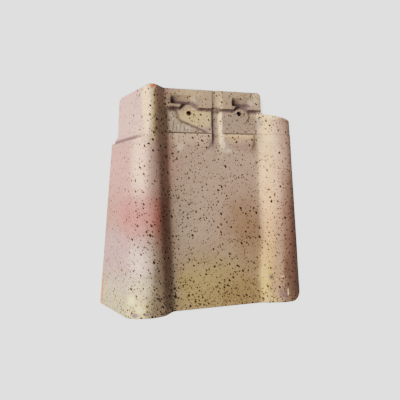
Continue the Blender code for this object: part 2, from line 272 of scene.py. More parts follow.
def corner_pieces(corners, steps):
    """The points of each corner: one where it is sharp, and an arc where it has a radius."""
    pieces = [[corners[0][:2]]]
    for before, corner, after, count in zip(corners, corners[1:], corners[2:], steps):
        if not count:
            pieces.append([corner[:2]])
            continue
        here = Vector(corner[:2])
        back = (Vector(before[:2]) - here).normalized()
        ahead = (Vector(after[:2]) - here).normalized()
        half = back.angle(ahead) / 2
        centre = here + (back + ahead).normalized() * corner[2] / math.sin(half)
        start = here + back * corner[2] / math.tan(half) - centre
        end = here + ahead * corner[2] / math.tan(half) - centre
        sweep = math.atan2(start.x * end.y - start.y * end.x, start.dot(end))
        turns = [Matrix.Rotation(sweep * i / count, 2) for i in range(count + 1)]
        pieces.append([tuple(centre + turn @ start) for turn in turns])
    return pieces + [[corners[-1][:2]]]


def run_between(start, end, count, crowd_start, crowd_end):
    """Points from start to just before end, crowded at the ends that are free edges."""
    length = math.dist(start, end)
    near = [d / length for d in edge_crowd] if crowd_start else [0.0]
    far = [1.0 - d / length for d in reversed(edge_crowd)] if crowd_end else [1.0]
    even = count - len(near) - len(far) + 2
    shares = near + [mix(near[-1], far[0], i / even) for i in range(1, even)] + far
    return [(mix(start[0], end[0], t), mix(start[1], end[1], t)) for t in shares[:-1]]


def columns(corners, steps, runs):
    """The points along one mould, evenly spaced on each run and on each arc."""
    pieces = corner_pieces(corners, steps)
    band_run, last_run = len(runs) - 6, len(runs) - 1
    line = []
    for i, (piece, following, count) in enumerate(zip(pieces, pieces[1:], runs)):
        line += piece[:-1]
        line += run_between(piece[-1], following[0], count, i == 0, i in (band_run, last_run))
    return line + [corners[-1][:2]]


def rounded_back(place, end, radius):
    """How far a corner of that radius, which ends there, draws the edge back at a place."""
    past = np.clip(place - (end - radius), 0.0, radius)
    return radius - np.sqrt(radius ** 2 - past ** 2)


def with_wing_corner(y, corners):
    """Rounds the wing's corner at the head by lifting the point at its foot."""
    lift = rounded_back(y, tile_length, wing_corner_radius)
    if not lift:
        return corners
    foot = Vector(corners[0][:2]) + Vector((wing_lean, 1.0)).normalized() * lift
    return [tuple(foot)] + corners[1:]


# %% Sample both moulds along the tile
sample_count = 881
sample_step = tile_length / (sample_count - 1)
upper_lines, lower_lines = [], []
for sample in range(sample_count):
    sample_y = sample * sample_step
    roll_level = -roll_lap_drop * float(ramp(sample_y - lap_y, lap_step_width))
    upper = upper_corners(sample_y, float(pan_level(sample_y)), roll_level)
    upper_lines.append(columns(with_wing_corner(sample_y, upper), upper_steps, upper_runs))
    lower = lower_corners(sample_y)
    lower_lines.append(columns(with_wing_corner(sample_y, lower), lower_steps, lower_runs))
upper_lines, lower_lines = np.array(upper_lines), np.array(lower_lines)
column_count = upper_lines.shape[1]
band_column = column_count - 1 - sum(upper_runs[8:]) - sum(upper_steps[8:])
beyond_band = np.arange(column_count) > band_column
print(column_count, "columns; the band ends at column", band_column)


# %% [markdown]
# ## The free edges seen from above
# The slab isn't a plain rectangle. The corner of the cover roll at the tail is rounded, and
# at the head the roll stops short of the band at a slanting cut, so that the next tile can
# come in. It could be cut by a boolean. Here the rows of points bend to follow these edges,
# so that only whole faces are trimmed off and the rounded rim runs right round the tile.

# %% Outlines of the free edges
def outline_of(corners, steps=8):
    """The points of an outline, with an arc at each corner that has a radius."""
    pieces = corner_pieces(corners, [steps * (len(corner) > 2) for corner in corners[1:-1]])
    return [point for piece in pieces for point in piece]


cut_corners = [(band_end_x, tile_length), (band_end_x, 0.3945, 0.009),
               (0.1738, 0.3805, 0.012), (0.1738, 0.3405)]
cut_xs, cut_ys = np.array(outline_of(cut_corners)[1:]).T
cut_y = cut_ys[0]


def tail_edge(x):
    reach = evenly(cover_corner_radius, cover_edge_tail, cover_edge_head)
    return rounded_back(x, reach, cover_corner_radius)


def head_edge(x):
    """The band's edge up to its end, and the slanting cut beyond it."""
    band = tile_length - rounded_back(x, band_end_x, band_corner_radius)
    return np.where(beyond_band, np.interp(x, cut_xs, cut_ys), band)


print("the slanting cut reaches up to", round(cut_y, 4), "m")


# %% Rows from the tail to the head
fine_from_y = 0.296
near_pitch = 0.0062
fine_pitch = 0.0014
tail_bend_end = 0.090
bending_rounds = 4


def even_rows(start, end, pitch):
    """Rows after start, up to and with end."""
    return list(np.linspace(start, end, round((end - start) / pitch) + 1)[1:])


row_ys = list(edge_crowd)
row_ys += even_rows(edge_radius, fine_from_y, near_pitch)
row_ys += even_rows(fine_from_y, cut_y - edge_radius, fine_pitch)
row_ys += [cut_y - d for d in reversed(edge_crowd[:-1])]
cut_row = len(row_ys) - 1
row_ys += even_rows(cut_y, tile_length - edge_radius, fine_pitch)
row_ys += [tile_length - d for d in reversed(edge_crowd[:-1])]
row_ys = np.array(row_ys)[:, None]
print(len(row_ys), "rows; the cover roll ends at row", cut_row)


def on_mould(lines, y):
    """The x and z of each column at its own y."""
    place = np.clip(y / sample_step, 0.0, sample_count - 1.001)
    before = place.astype(int)
    column = np.arange(column_count)
    x_and_z = mix(lines[before, column], lines[before + 1, column], (place - before)[..., None])
    return x_and_z[..., 0], x_and_z[..., 1]


def fade_between(y, start, end):
    return np.clip((y - start) / (end - start), 0.0, 1.0)


def bent_rows(lines):
    """Every point of one mould, in an array of rows and columns."""
    y = np.repeat(row_ys, column_count, axis=1)
    drawn_from = np.where(beyond_band, fine_from_y, cut_y)
    ends = np.where(beyond_band, cut_y, tile_length)
    reach = 2 * edge_radius
    for _ in range(bending_rounds):
        x, z = on_mould(lines, y)
        y = row_ys + tail_edge(x) * (1.0 - fade_between(row_ys, reach, tail_bend_end))
        y = y - (ends - head_edge(x)) * fade_between(row_ys, drawn_from, ends - reach)
    return x, y, z


upper_x, upper_y, upper_z = bent_rows(upper_lines)
lower_x, lower_y, lower_z = bent_rows(lower_lines)
print("upper side: x", upper_x.min().round(4), "to", upper_x.max().round(4))


# %% [markdown]
# ## What the press leaves on the head
# The head of the tile is full of shallow work: a raised band that stops driven rain, two
# pads with nail holes, a channel between them, a lower floor at the left, two plates below
# and a pair of hollows over the hanging nibs. It could all be cut with booleans, but pressed
# clay has no sharp inner corners. So each form is a height that rises or falls over a soft
# ramp, a few millimetres wide, at a distance from the form's outline.

# %% Helpers for pressed relief
def inside_by(x, y, outline):
    """How far a point lies inside a closed outline, and less than 0 outside it."""
    nearest = np.full(x.shape, 1.0)
    inside = np.zeros(x.shape, bool)
    for (ax, ay), (bx, by) in zip(outline, outline[1:] + outline[:1]):
        nearest = np.minimum(nearest, line_distance(x, y, (ax, ay), (bx, by)))
        if ay != by:
            crossing = (ay > y) != (by > y)
            inside ^= crossing & (x < ax + (y - ay) / (by - ay) * (bx - ax))
    return np.where(inside, nearest, -nearest)


def line_distance(x, y, start, end):
    """The distance from the straight line between two points."""
    (ax, ay), (bx, by) = start, end
    dx, dy = bx - ax, by - ay
    t = np.clip(((x - ax) * dx + (y - ay) * dy) / max(dx * dx + dy * dy, 1e-12), 0.0, 1.0)
    return np.hypot(x - ax - dx * t, y - ay - dy * t)


def dent(x, y, start, end, width):
    """1 along a line, falling softly to 0 at half the width from it."""
    return ease(1.0 - line_distance(x, y, start, end) / (width / 2))


# %% The pads, the floor and the plates
left_bay = (-0.061, 0.390, 0.021)
right_bay = (0.052, 0.390, 0.018)
soft_wall = 0.0032
side_floor_depth = 0.0035
side_floor_from, side_floor_fade = -0.118, 0.016
side_floor = outline_of([
    (-0.1300, 0.372), (-0.1300, band_y), (-0.0870, band_y), (-0.0800, 0.3755, 0.012),
    (-0.0130, lap_y), (-0.1300, lap_y), (-0.1300, 0.372)])[:-1]

plate_rise = 0.0022
plate_tail_y = 0.308
plate_wall = 0.0050
rise_left_at_tail = 0.70
inner_corner, outer_corner = 0.030, 0.024

# The outer edge of the right pad, and the lower floor between it and the cover roll.
pad_radius, pad_wall = 0.0195, 0.0026
pad_floor, pad_floor_fade = (0.056, 0.094), 0.006
pad_floor_y, pad_floor_run, pad_floor_end = 0.366, 0.016, 0.003
pad_floor_depth = 0.0018


def plate_outline(inner_x, outer_x):
    middle = (inner_x + outer_x) / 2
    return outline_of([
        (middle, lap_y), (inner_x, lap_y), (inner_x, plate_tail_y, inner_corner),
        (outer_x, plate_tail_y, outer_corner), (outer_x, lap_y), (middle, lap_y)])[:-1]


plates = [plate_outline(-0.0125, -0.0895), plate_outline(0.0105, 0.0805)]


def with_pads_and_plates(x, y, height):
    in_band = y - band_y
    for bay_x, bay_y, radius in (left_bay, right_bay):
        out_of_bay = np.hypot(x - bay_x, y - bay_y) - radius
        clear = ramp(np.minimum(in_band, out_of_bay), band_step_width)
        height = height + (band_rise + pan_lap_drop) * (clear - ramp(in_band, band_step_width))
    in_side_floor = ramp(inside_by(x, y, side_floor), soft_wall)
    in_side_floor *= ease((x - side_floor_from) / side_floor_fade)
    height = height - side_floor_depth * in_side_floor
    run_out = mix(rise_left_at_tail, 1.0, ease((y - plate_tail_y) / (lap_y - plate_tail_y)))
    for plate in plates:
        height = height + plate_rise * run_out * ramp(inside_by(x, y, plate), plate_wall)
    off_pad = ramp(np.hypot(x - right_bay[0], y - right_bay[1]) - pad_radius, pad_wall)
    beside = ease((x - pad_floor[0]) / pad_floor_fade) * ease((pad_floor[1] - x) / pad_floor_fade)
    lowered = pad_floor_depth * off_pad * beside * ease((y - pad_floor_y) / pad_floor_run)
    return height - lowered * ramp(-in_band, pad_floor_end)


print(len(plates), "plates, and a side floor with", len(side_floor), "points round it")


# %% The channel and the hollows
channel_ys = (0.316, lap_y, 0.3945, 0.4045)
channel_floor = (0.0, -0.005, -0.005, 0.0035)
channel_left, channel_right, groove_right = -0.011, 0.0070, -0.0010
channel_right_wall = 0.0080
hollows = [(-0.0975, -0.0540), (0.0340, 0.0720)]
hollow_ys = (0.4095, 0.4255)
hollow_floor = (-0.0065, 0.0040)
hollow_left_wall, hollow_right_wall = 0.0035, 0.0120


def with_channel_and_hollows(x, y, height):
    right = np.interp(y, channel_ys[2:], (channel_right, groove_right))
    across = ramp(x - channel_left, soft_wall) * ramp(right - x, channel_right_wall)
    floor = np.interp(y, channel_ys, channel_floor)
    height = mix(height, np.minimum(height, floor), across)
    for left, right in hollows:
        inside = np.minimum(x - left, np.minimum(y - hollow_ys[0], hollow_ys[1] - y))
        share = ramp(inside, hollow_left_wall) * ramp(right - x, hollow_right_wall)
        height = mix(height, np.interp(y, hollow_ys, hollow_floor), share)
    return height


print("hollows, mm wide:", [round(1000 * (right - left)) for left, right in hollows])


# %% [markdown]
# ## Marks in the clay
# On the lower floor at the left there is a row of plain shallow strokes, and a small nick runs
# across the band. The corner of the crest at the head has been knocked, and the bare red clay
# shows there under the slip. Such marks could be sculpted. Here each is a dent of a known depth
# along a line or in a ragged oval, so that it can be moved. Painted shade, dark in the inner
# corners and on steep walls, and pale paint on the edges, partly rubbed slip and partly painted
# highlight, are found from the shape itself.

# %% Strokes, nick and chip
stroke_depth = 0.0014
stroke_width = 0.0032
stroke_starts = [(-0.0935 + 0.0078 * i, 0.3550 - 0.0008 * i) for i in range(5)]
stroke_lengths = (0.017, 0.009, 0.016, 0.011, 0.006)
stroke_slant = 0.12
nick = ((0.0772, 0.4370), (0.0742, 0.4290))
nick_depth, nick_width = 0.0011, 0.0026
chip_place = (-0.1370, 0.4395)
chip_reach = (0.0070, 0.0105)
chip_depth = 0.0014
chip_grain, chip_roughness, chip_softness = 420, 0.45, 0.30


def chip_mask(x, y):
    """1 in the ragged oval of the chip, and 0 outside it."""
    ragged = np.array([noise.noise(Vector((px * chip_grain, py * chip_grain, 3.0)))
                       for px, py in zip(x.ravel(), y.ravel())]).reshape(x.shape)
    away = np.hypot((x - chip_place[0]) / chip_reach[0], (y - chip_place[1]) / chip_reach[1])
    return ease((1.0 - away + chip_roughness * ragged) / chip_softness)


def with_marks(x, y, height):
    for (start_x, start_y), length in zip(stroke_starts, stroke_lengths):
        end = (start_x + stroke_slant * length, start_y + length)
        height = height - stroke_depth * dent(x, y, (start_x, start_y), end, stroke_width)
    height = height - nick_depth * dent(x, y, *nick, nick_width)
    return height - chip_depth * chip_mask(x, y)


flat_level = pan_level(upper_y)
levels = with_pads_and_plates(upper_x, upper_y, flat_level)
levels = with_channel_and_hollows(upper_x, upper_y, levels)
levels = with_marks(upper_x, upper_y, levels)
relief = levels - flat_level
print("pressed relief, mm:", (1000 * relief.min()).round(1), "to", (1000 * relief.max()).round(1))


# %% Painted shade in creases and on steep walls, and pale edges of rubbed slip and painted highlight
crease_least, crease_depth = 0.00020, 0.00045
steep_least, steep_most = 0.7, 1.5
crease_x, crease_fade = (-0.103, 0.100), 0.008
thick_gain, thick_y, thick_fade = 2.2, 0.362, 0.020


def blurred(field, times):
    """The field smoothed a few times over its neighbours in both directions."""
    for _ in range(times):
        padded = np.pad(field, 1, mode="edge")
        field = (padded[:-2, 1:-1] + 2.0 * padded[1:-1, 1:-1] + padded[2:, 1:-1]) / 4.0
        padded = np.pad(field, 1, mode="edge")
        field = (padded[1:-1, :-2] + 2.0 * padded[1:-1, 1:-1] + padded[1:-1, 2:]) / 4.0
    return field


hollowness = blurred(levels, 4) - levels
slope_up = abs(np.gradient(levels, axis=0) / np.gradient(upper_y, axis=0))
slope_right = -np.gradient(levels, axis=1) / np.gradient(upper_x, axis=1)
steepness = (np.maximum(slope_up, slope_right) - steep_least) / (steep_most - steep_least)
in_head = ramp(upper_x - crease_x[0], crease_fade) * ramp(crease_x[1] - upper_x, crease_fade)
# Painted shade: dark in hollow places and on steep walls that face along the tile or to the right,
# away from the light; nearer the head it is thickened.
painted_shade = np.clip(np.maximum((hollowness - crease_least) / crease_depth, steepness), 0.0, 1.0)
thick_painted_shade = np.clip(thick_gain * blurred(painted_shade, 3), 0.0, 1.0)
painted_shade = mix(painted_shade, thick_painted_shade, ramp(upper_y - thick_y, thick_fade))
# Pale on convex edges in the head: partly rubbed slip and partly painted highlight.
rubbed_and_highlight = np.clip((-hollowness - crease_least) / crease_depth, 0.0, 1.0) * (1.0 - painted_shade) * in_head
painted_shade *= in_head

# %% Painted shade in dark lines along single forms
pad_line_width, bay_line_width, hollow_line_width = 0.0019, 0.0022, 0.0046
lap_line_width, nick_line_width, step_line_width = 0.0016, 0.0062, 0.0046
hollow_line_share, lap_line_share = 0.5, 0.30


def line_at(distance, width, core=0.5):
    """1 where the distance is under core times the width, and 0 from one width further on."""
    return ease(1.0 + core - abs(distance) / width)


pad_line = line_at(inside_by(upper_x, upper_y, side_floor), pad_line_width)
pad_line *= ramp(upper_x + 0.100, 0.004) * ramp(upper_y - lap_y - 0.004, 0.004)
painted_shade_lines = [pad_line * (upper_y < band_y)]
for bay_x, bay_y, radius in (left_bay, right_bay):
    off_bay = np.hypot(upper_x - bay_x, upper_y - bay_y) - radius - 0.0005
    painted_shade_lines.append(line_at(off_bay, bay_line_width) * ramp(upper_y - band_y, 0.002))
for left, right in hollows:
    head_side = ((left, hollow_ys[1]), (right, hollow_ys[1]))
    painted_shade_lines.append(hollow_line_share * dent(upper_x, upper_y, *head_side, hollow_line_width))
lap_line = lap_line_share * line_at(upper_y - lap_y, lap_line_width, 0.6)
painted_shade_lines.append(lap_line * ramp(upper_x + 0.145, 0.010) * (1.0 - in_head))
painted_shade_lines.append(dent(upper_x, upper_y, *nick, nick_line_width))
step_line = line_at(upper_y - wing_step_y - 0.9 * wing_step_ramp, step_line_width, 0.6)
painted_shade_lines.append(step_line * ramp(-0.158 - upper_x, 0.020))
# These dark lines are painted shade and join the rest of it.
painted_shade = np.maximum.reduce([painted_shade] + painted_shade_lines)
print("creases on", round(100 * (painted_shade > 0.5).mean(), 1), "percent of the points")


# %% [markdown]
# ## The rim and the hand of the maker
# The rim is rounded by drawing the two sides of the wall together near every free edge,
# along a quarter of a circle. Fired clay is never quite true either: it sags and creeps a
# little in the kiln, so the whole wall gets a slow wave of a few tenths of a millimetre. The
# wave fades at the edges, where the tile has to lie true.

# %% Distances to the free edges
def to_line_end(x, z, end):
    """The distance of each point from the first or last column of its row."""
    return np.hypot(x - x[:, [end]], z - z[:, [end]])


beside_band = np.hypot(np.maximum(band_end_x - upper_x, 0.0), np.maximum(cut_y - upper_y, 0.0))
edge_distance = np.minimum.reduce([
    upper_y - tail_edge(upper_x),
    head_edge(upper_x) - upper_y,
    to_line_end(upper_x, upper_z, 0),
    to_line_end(upper_x, upper_z, -1),
    np.where(beyond_band, 1.0, beside_band),
])
edge_distance = np.clip(edge_distance, 0.0, None)
print((edge_distance < edge_radius).sum(), "points on the rim")


# %% The two sides of the wall
wave_height = 0.00035
wave_length = 0.070
wave_fade = 0.012

upper_points = np.stack([upper_x, upper_y, upper_z + relief], axis=-1)
lower_points = np.stack([lower_x, lower_y, lower_z], axis=-1)
inward = lower_points - upper_points
inward /= np.linalg.norm(inward, axis=-1, keepdims=True)

rounding = rounded_back(-edge_distance, 0.0, edge_radius)
wave = np.array([noise.noise(Vector(point) / wave_length)
                 for point in upper_points.reshape(-1, 3)]).reshape(upper_x.shape)
wave *= wave_height * ease(edge_distance / wave_fade)
upper_points += inward * (rounding + wave)[..., None]
lower_points += inward * (wave - rounding)[..., None]
thickness = np.linalg.norm(lower_points - upper_points, axis=-1)
print("wall, mm:", (1000 * np.median(thickness)).round(1))


# %% [markdown]
# ## Pressing the slab
# A tile starts as a slab of clay between two moulds, and so does this one. A flat grid is the
# slab, the part beyond the slanting cut is trimmed off in edit mode, Solidify gives the slab
# its thickness, and then each point is moved to its place on the upper or the lower mould.
# Every point carries its number through these steps in an attribute, which says where it goes.

# %% Cut the slab
def select_only(obj):
    bpy.ops.object.select_all(action="DESELECT")
    bpy.context.view_layer.objects.active = obj
    obj.select_set(True)


def edit_faces(obj, chosen):
    """Opens the object in edit mode with only the chosen faces selected."""
    bpy.ops.object.mode_set(mode="EDIT")
    bpy.ops.mesh.select_mode(type="FACE")
    bpy.ops.mesh.select_all(action="DESELECT")
    bpy.ops.object.mode_set(mode="OBJECT")
    obj.data.polygons.foreach_set("select", chosen)
    bpy.ops.object.mode_set(mode="EDIT")


bpy.ops.object.select_all(action="DESELECT")
bpy.ops.mesh.primitive_grid_add(x_subdivisions=column_count - 1,
                                y_subdivisions=len(row_ys) - 1, size=tile_length)
tile = bpy.context.object
tile.name = tile.data.name = "pressed_tile"
numbers = tile.data.attributes.new("number", "INT", "POINT")
numbers.data.foreach_set("value", np.arange(len(tile.data.vertices), dtype=np.int32))

face = np.arange(len(tile.data.polygons))
face_row, face_column = face // (column_count - 1), face % (column_count - 1)
edit_faces(tile, (face_row >= cut_row) & (face_column >= band_column))
bpy.ops.mesh.delete(type="FACE")
bpy.ops.object.mode_set(mode="OBJECT")
print("slab:", len(tile.data.vertices), "points,", len(tile.data.polygons), "faces")

# %% Give it its wall and press it
solidify = tile.modifiers.new("wall", "SOLIDIFY")
solidify.thickness = wall
solidify.offset = -1.0
bpy.ops.object.modifier_apply(modifier=solidify.name)

mesh = tile.data
number = np.zeros(len(mesh.vertices), np.int32)
mesh.attributes["number"].data.foreach_get("value", number)
half_count = len(number) // 2


def on_points(upper, lower):
    """What the two moulds hold, in the order of the mesh's points."""
    chosen = [upper.reshape(-1, 3)[number[:half_count]], lower.reshape(-1, 3)[number[half_count:]]]
    return np.concatenate(chosen).astype(np.float32).ravel()


mesh.vertices.foreach_set("co", on_points(upper_points, lower_points))
print("pressed:", len(mesh.vertices), "points")


# %% [markdown]
# ## Where the slip lies
# The slip is a thin coat of coloured clay, poured or sprayed on the top before firing. It
# runs over the rim and stops. The underside stays bare. This is kept as an attribute that is
# 1 under the slip and 0 on bare clay, which the material reads later.

# %% The slip's attribute
worn_edge = 0.62
worn_reach = evenly(upper_y, 0.0065, 0.0030)

cover = 1.0 - chip_mask(upper_x, upper_y)
foot_distance = to_line_end(upper_x, upper_z, 0)
cover *= 1.0 - worn_edge * (1.0 - ease(foot_distance / worn_reach))


def keep_on_points(name, top):
    """Keeps a number for every point: the given ones on top, and 0 underneath."""
    values = np.concatenate([top.ravel()[number[:half_count]], np.zeros(half_count)])
    attribute = mesh.attributes.new(name, "FLOAT", "POINT")
    attribute.data.foreach_set("value", values.astype(np.float32))


keep_on_points("slip_cover", cover)
# The painted shade, and the pale edges of rubbed slip and painted highlight, are kept the same
# way.
keep_on_points("painted_shade", painted_shade)
keep_on_points("rubbed_and_highlight", rubbed_and_highlight)
print("bare clay on", round(100 * (cover < 0.5).mean(), 2), "percent of the points on top")

# %% Where each point lies on the skin
middle_column = int(np.argmin(abs(upper_x[cut_row])))
steps_across = np.hypot(np.diff(upper_x, axis=1), np.diff(upper_z, axis=1))
across = np.pad(np.cumsum(steps_across, axis=1), ((0, 0), (1, 0)))
across -= across[:, [middle_column]]
skin = np.stack([across, upper_y, np.zeros_like(across)], axis=-1)

# The lower side's rim lies a wall's thickness further out, so the skin runs on over the rim.
lower_skin = skin.copy()
lower_skin[0, :, 1] -= wall
lower_skin[-1, :, 1] += wall
lower_skin[:, 0, 0] -= wall
lower_skin[:, -1, 0] += wall
lower_skin[cut_row, band_column:, 1] += wall
lower_skin[cut_row:, band_column, 0] += wall
skin_attribute = mesh.attributes.new("skin_place", "FLOAT_VECTOR", "POINT")
skin_attribute.data.foreach_set("vector", on_points(skin, lower_skin))
mesh.attributes.remove(mesh.attributes["number"])
mesh.update()
print("the skin is", round(1000 * (across.max() - across.min())), "mm across")


# %% [markdown]
# ## Nibs, drip rib and nail holes
# Under the head two nibs hook over the batten, and under the tail a low rib breaks the drip.
# The photo doesn't show them, so they are plain blocks with drafted sides and soft edges, as
# the mould would give them. Each is a cube, shaped in edit mode, bevelled, and joined to the
# wall by a union. The nail holes are punched from above with a tapered pin, so they are cut
# with cones.

# %% Blocks under the tile
block_edge = 0.0018


def block(name, low, high, shape=None):
    """A cube between two corners, with its lower face shaped and its edges rounded."""
    size = Vector(high) - Vector(low)
    bpy.ops.object.select_all(action="DESELECT")
    bpy.ops.mesh.primitive_cube_add(size=1.0, location=(Vector(low) + Vector(high)) / 2)
    made = bpy.context.object
    made.name = name
    made.scale = size
    bpy.ops.object.transform_apply(location=True, rotation=False, scale=True)
    if shape:
        edit_faces(made, [polygon.normal.z < -0.5 for polygon in made.data.polygons])
        shape()
        bpy.ops.object.mode_set(mode="OBJECT")
    bevel = made.modifiers.new("soft_edges", "BEVEL")
    bevel.width = block_edge
    bevel.segments = 3
    bpy.ops.object.modifier_apply(modifier=bevel.name)
    return made


def join(cutter, operation):
    """Joins or cuts with a boolean, and removes the cutter."""
    boolean = tile.modifiers.new(cutter.name, "BOOLEAN")
    boolean.object = cutter
    boolean.operation = operation
    boolean.solver = "EXACT"
    select_only(tile)
    bpy.ops.object.modifier_apply(modifier=boolean.name)
    bpy.data.objects.remove(cutter, do_unlink=True)


nib_xs, nib_half = {"left": -0.0725, "right": 0.0595}, 0.0285
nib_face_y, nib_foot_y, nib_end_y = 0.398, 0.408, 0.434
nib_low, sunk = -0.028, -0.0098
nib_draft, nib_face_draft = 0.89, 0.0008
rib_low, rib_high = (-0.075, 0.016, -0.017), (0.074, 0.028, sunk)
blocks_reach = 0.104


def shape_nib():
    """Draws the foot of the nib in at its sides and back to the batten's face."""
    length = nib_end_y - nib_face_y
    foot_share = (nib_foot_y - nib_face_y) / length
    face_y = nib_face_y - (nib_face_y + nib_end_y) / 2
    bpy.ops.transform.resize(value=(nib_draft, foot_share, 1.0))
    drawn_back = face_y * (1.0 - foot_share) + nib_face_draft
    bpy.ops.transform.translate(value=(0.0, drawn_back, 0.0))


for side, nib_x in nib_xs.items():
    nib = block(side + "_nib", (nib_x - nib_half, nib_face_y, nib_low),
                (nib_x + nib_half, nib_end_y, sunk), shape_nib)
    join(nib, "UNION")
join(block("drip_rib", rib_low, rib_high), "UNION")
print("with its blocks:", len(tile.data.vertices), "points")

# %% Nail holes
nail_holes = ((-0.061, 0.390), (0.049, 0.393))
punch_length, punch_middle_z = 0.020, -0.0065
punch_tip, punch_top = 0.0012, 0.0060

for hole_x, hole_y in nail_holes:
    bpy.ops.object.select_all(action="DESELECT")
    bpy.ops.mesh.primitive_cone_add(vertices=32, radius1=punch_tip, radius2=punch_top,
                                    depth=punch_length,
                                    location=(hole_x, hole_y, punch_middle_z))
    join(bpy.context.object, "DIFFERENCE")

# The unions spread the slip's attribute over the blocks, but they are bare clay.
for vertex, slip in zip(tile.data.vertices, tile.data.attributes["slip_cover"].data):
    if vertex.co.z < sunk and abs(vertex.co.x) < blocks_reach:
        slip.value = 0.0
print("tile:", sum(len(p.vertices) - 2 for p in tile.data.polygons), "triangles")


# %% [markdown]
# ## Laying the tile down
# Loose on the ground, the tile rests on the lower edge of its wing and on the free edge of
# its cover roll, so the pan leans. The mesh is turned by that lean and moved until the foot
# of the wing lies where the plain model has it.

# %% Lay it down
lean = math.atan(bed_slope)
turned = Matrix.Rotation(lean, 4, "Y")
wing_foot = turned @ Vector((wing_foot_x, 0.0, -wing_drop))
laid = Matrix.Translation(cad_low - wing_foot) @ turned
tile.data.transform(laid)
tile.data.update()
select_only(tile)
bpy.ops.object.shade_smooth_by_angle(angle=math.radians(75.0))

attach(tile, "root")
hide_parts("verge_tile")
corners = np.array(tile.bound_box)
print("laid down from", corners.min(axis=0).round(4), "to", corners.max(axis=0).round(4))


# %% [markdown]
# ## The slipped clay
# The tile is red earthenware with an engobe, a matt clay slip that was sprayed on in several
# tones and speckled with oxide before firing. The eye sees cream where the spray was thick,
# pink and salmon on the wing, grey brown in the pan, olive at the tail, and everywhere small
# dark specks of iron and manganese. The colours could be painted as an image. Here they are
# soft spots of spray laid over each other in the tile's own roof coordinates, with borders
# that wander a little, so each one can be moved or given another colour by hand. Some of the
# spots are painted light and shade, not spray: pale yellow strips where the rolls face the
# light, dark and pale spots on the walls of the pressed relief, a glint, and black in the
# nail holes.

# %% Start the material
slipped_clay = bpy.data.materials.new("slipped_clay")
slipped_clay.use_nodes = True
nodes, links = slipped_clay.node_tree.nodes, slipped_clay.node_tree.links
nodes.clear()


def add(kind, inputs, **settings):
    """Adds a node with its settings, and links or sets its inputs."""
    made = nodes.new("ShaderNode" + kind)
    for name, value in settings.items():
        setattr(made, name, value)
    for name, value in inputs.items():
        if isinstance(value, bpy.types.NodeSocket):
            links.new(value, made.inputs[name])
        else:
            made.inputs[name].default_value = value
    return made


def linear(colour):
    """The linear colour of an sRGB hex value."""
    parts = [int(colour[i:i + 2], 16) / 255.0 for i in (1, 3, 5)]
    return [c / 12.92 if c <= 0.04045 else ((c + 0.055) / 1.055) ** 2.4 for c in parts] + [1.0]


# A Mix node takes its share at 0 and its colours at 6 and 7, and gives the result at 2.
# The object's coordinates are turned back to the roof's, in metres: x across, y up the slope.
to_roof = laid.inverted()
object_place = add("TexCoord", {}).outputs["Object"]
roof_place = add("Mapping", {"Vector": object_place, "Rotation": to_roof.to_euler(),
                             "Location": to_roof.translation}).outputs["Vector"]

# %% The sprayed tones, and painted light and shade laid the same way
border_size = 0.035
border_noise = add("TexNoise", {"Vector": roof_place, "Scale": 1 / border_size, "Detail": 4.0})
centred = add("VectorMath", {0: border_noise.outputs["Color"], 1: (0.5, 0.5, 0.5)},
              operation="SUBTRACT").outputs[0]


def patch(below, colour, centre, half, firmness=1.0, wander=0.9, drift=centred):
    """A soft spot of colour, for the spray and for painted light and shade: its centre, and where
    it is half gone to each side and along, in mm.
    """
    local = add("VectorMath", {0: roof_place, 1: (1000 / half[0], 1000 / half[1], 0.0),
                               2: (-centre[0] / half[0], -centre[1] / half[1], 0.0)},
                operation="MULTIPLY_ADD").outputs[0]
    local = add("VectorMath", {0: drift, 1: (wander, wander, 0.0), 2: local},
                operation="MULTIPLY_ADD").outputs[0]
    away = add("VectorMath", {0: local, 1: local}, operation="DOT_PRODUCT").outputs["Value"]
    firm = add("Math", {0: away, 1: firmness}, operation="POWER").outputs[0]
    share = add("Math", {0: 0.5, 1: firm}, operation="POWER").outputs[0]
    return add("Mix", {0: share, 6: below, 7: linear(colour)}, data_type="RGBA").outputs[2]


pan_tones = [
    ("#947D67", (-85, 165), (28, 70)),
    ("#7B5D42", (64, 142), (56, 78), 1.4),
    ("#877057", (-24, 96), (62, 26)),
    ("#927C46", (-36, 38), (76, 52), 1.2),
    ("#7E663C", (46, 22), (56, 50), 1.2),
    ("#887560", (-99, 80), (9, 90)),
    ("#B29173", (-52, 338), (42, 13), 2.0),
    ("#A68765", (45, 338), (38, 11), 2.0),
    ("#8E6E5D", (56, 320), (24, 9), 1.5),
    ("#9B8162", (-10, 427), (106, 28), 4.0),
    ("#AC9166", (-58, 432), (26, 8), 1.5),
    ("#B69B72", (86, 426), (9, 16), 1.5),
    ("#CDB498", (-106, 374), (17, 26), 2.5),
    ("#BCA688", (-74, 362), (26, 12), 1.5),
    ("#C3A66B", (-46, 383), (36, 19), 3.0),
    ("#8B745F", (52, 374), (40, 26), 3.0),
    ("#D0AA6A", (45, 343), (33, 3.4), 2.0),
    # Painted light and shade on the edges of the plates: dark where an edge faces away from the
    # light, pale where it faces it.
    ("#6A5648", (80, 324), (6, 12)),
    ("#CDB290", (11, 321), (4, 10), 1.5),
    ("#C4A888", (21, 311), (7, 3)),
    ("#BC9E82", (-79, 320), (6, 10)),
    ("#7E695C", (-16, 328), (5, 10)),
    # Painted shade in the two hollows over the nibs.
    ("#7A6857", (-90, 418), (11, 6), 1.3),
    ("#574539", (42, 417), (10, 7.5), 1.3),
    ("#8A7460", (62, 416), (16, 7)),
]
wing_tones = [
    ("#B87D70", (-205, 265), (90, 110), 2.0),
    ("#C99684", (-200, 424), (90, 82), 9.0),
    ("#A06C5C", (-220, 185), (28, 45)),
    ("#A77E75", (-208, 108), (70, 42), 1.5),
    ("#AF9A7B", (-208, 18), (70, 48), 1.8),
    ("#AD9B6E", (-205, 16), (70, 26), 1.8),
    ("#B9743C", (-235, 46), (4.5, 46), 2.0, 0.3),
]
